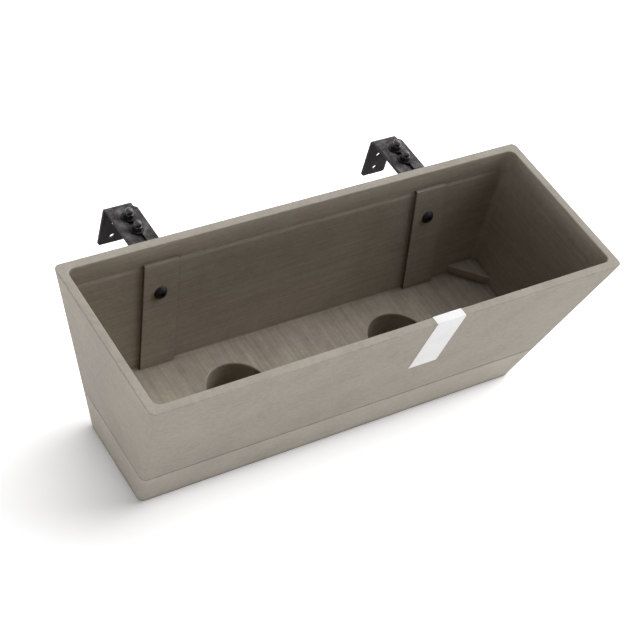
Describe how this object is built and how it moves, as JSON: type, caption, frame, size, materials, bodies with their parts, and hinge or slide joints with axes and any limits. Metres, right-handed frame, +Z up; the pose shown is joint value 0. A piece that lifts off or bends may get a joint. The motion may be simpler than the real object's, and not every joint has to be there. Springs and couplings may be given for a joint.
{
  "type": "window box planter",
  "caption": "Tapered window box planter on a water tray, with sunken wick wells and slotted steel brackets whose hooks slide to fit a balcony rail.",
  "frame": {"origin": "centre of the tray's flat base", "axes": "+X along the box, +Y towards the rail that it hangs on, +Z up; the front wall is on -Y"},
  "size_m": [0.604, 0.3033, 0.2215],
  "materials": {
    "pot_composite": "matt taupe with a faint brushed grain",
    "tray_composite": "matt taupe with a faint brushed grain",
    "coated_steel": "satin dark grey coating with a fine texture",
    "black_fasteners": "semi-gloss black",
    "card": "smooth white card"
  },
  "bodies": {
    "tray": {"water_tray": "tray_composite"},
    "pot": {"planter_shell": "pot_composite", "rim_tag": "card", "left_arm": "coated_steel", "left_wall_bolt": "black_fasteners", "left_wall_washer": "black_fasteners", "left_wall_nut": "black_fasteners", "right_arm": "coated_steel", "right_wall_bolt": "black_fasteners", "right_wall_washer": "black_fasteners", "right_wall_nut": "black_fasteners"},
    "left_hook_set": {"left_hook": "coated_steel", "left_clamp_bolts": "black_fasteners", "left_clamp_washers": "black_fasteners", "left_dome_nuts": "black_fasteners"},
    "right_hook_set": {"right_hook": "coated_steel", "right_clamp_bolts": "black_fasteners", "right_clamp_washers": "black_fasteners", "right_dome_nuts": "black_fasteners"}
  },
  "joints": [
    {"name": "pot_lift", "type": "slide", "parent": "tray", "child": "pot", "axis": [0, 0, 1], "range_m": [0, 0.06]},
    {"name": "left_hook_slide", "type": "slide", "parent": "pot", "child": "left_hook_set", "axis": [0, -1, 0], "range_m": [0, 0.029]},
    {"name": "right_hook_slide", "type": "slide", "parent": "pot", "child": "right_hook_set", "axis": [0, -1, 0], "range_m": [0, 0.029]}
  ]
}
